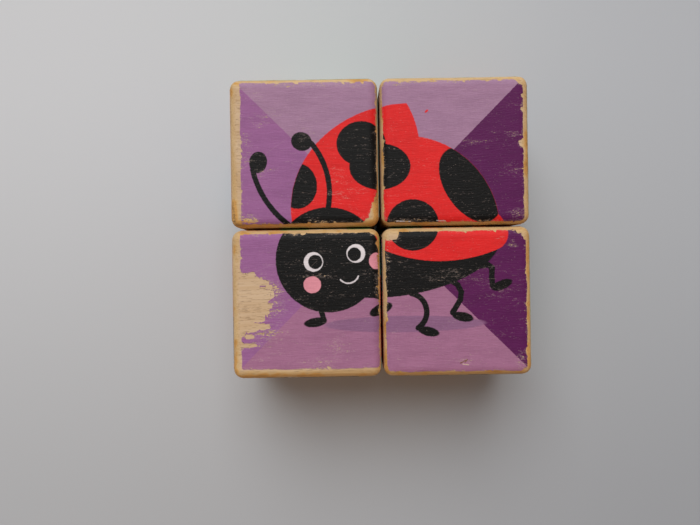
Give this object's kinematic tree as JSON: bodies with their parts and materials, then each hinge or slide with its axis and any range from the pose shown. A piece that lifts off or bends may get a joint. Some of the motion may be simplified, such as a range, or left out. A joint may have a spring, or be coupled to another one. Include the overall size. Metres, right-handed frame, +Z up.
{
  "type": "picture block puzzle",
  "caption": "Small set of loose wooden cubes with rounded edges that stand in a square, each with printed picture films on its faces that join into pictures.",
  "frame": {"origin": "on the surface that the set stands on, under the point where the four blocks meet", "axes": "+X to the right of the top picture, +Y towards the top of that picture, +Z up"},
  "size_m": [0.0808, 0.0808, 0.0402],
  "materials": {
    "block_wood": "sanded bare wood, matte",
    "top_picture": "worn printed film, satin",
    "bottom_picture": "worn printed film, satin",
    "front_picture": "worn printed film, satin",
    "back_picture": "worn printed film, satin",
    "left_picture": "worn printed film, satin",
    "right_picture": "worn printed film, satin"
  },
  "bodies": {
    "front_left": {"front_left_block": "block_wood", "front_left_top_print": "top_picture", "front_left_bottom_print": "bottom_picture", "front_left_front_print": "front_picture", "front_left_back_print": "back_picture", "front_left_left_print": "left_picture", "front_left_right_print": "right_picture"},
    "front_right": {"front_right_block": "block_wood", "front_right_top_print": "top_picture", "front_right_bottom_print": "bottom_picture", "front_right_front_print": "front_picture", "front_right_back_print": "back_picture", "front_right_left_print": "left_picture", "front_right_right_print": "right_picture"},
    "back_left": {"back_left_block": "block_wood", "back_left_top_print": "top_picture", "back_left_bottom_print": "bottom_picture", "back_left_front_print": "front_picture", "back_left_back_print": "back_picture", "back_left_left_print": "left_picture", "back_left_right_print": "right_picture"},
    "back_right": {"back_right_block": "block_wood", "back_right_top_print": "top_picture", "back_right_bottom_print": "bottom_picture", "back_right_front_print": "front_picture", "back_right_back_print": "back_picture", "back_right_left_print": "left_picture", "back_right_right_print": "right_picture"}
  },
  "joints": [
    {"name": "front_right_tip", "type": "hinge", "parent": "front_left", "child": "front_right", "pos_m": [0.03781, -0.02031, 0.00261], "axis": [0, 1, 0], "range_deg": [0, 90]},
    {"name": "back_left_tip", "type": "hinge", "parent": "front_left", "child": "back_left", "pos_m": [-0.03781, 0.02031, 0.00261], "axis": [0, -1, 0], "range_deg": [0, 90]},
    {"name": "back_right_tip", "type": "hinge", "parent": "front_left", "child": "back_right", "pos_m": [0.02031, 0.03781, 0.00261], "axis": [-1, 0, 0], "range_deg": [0, 90]}
  ]
}
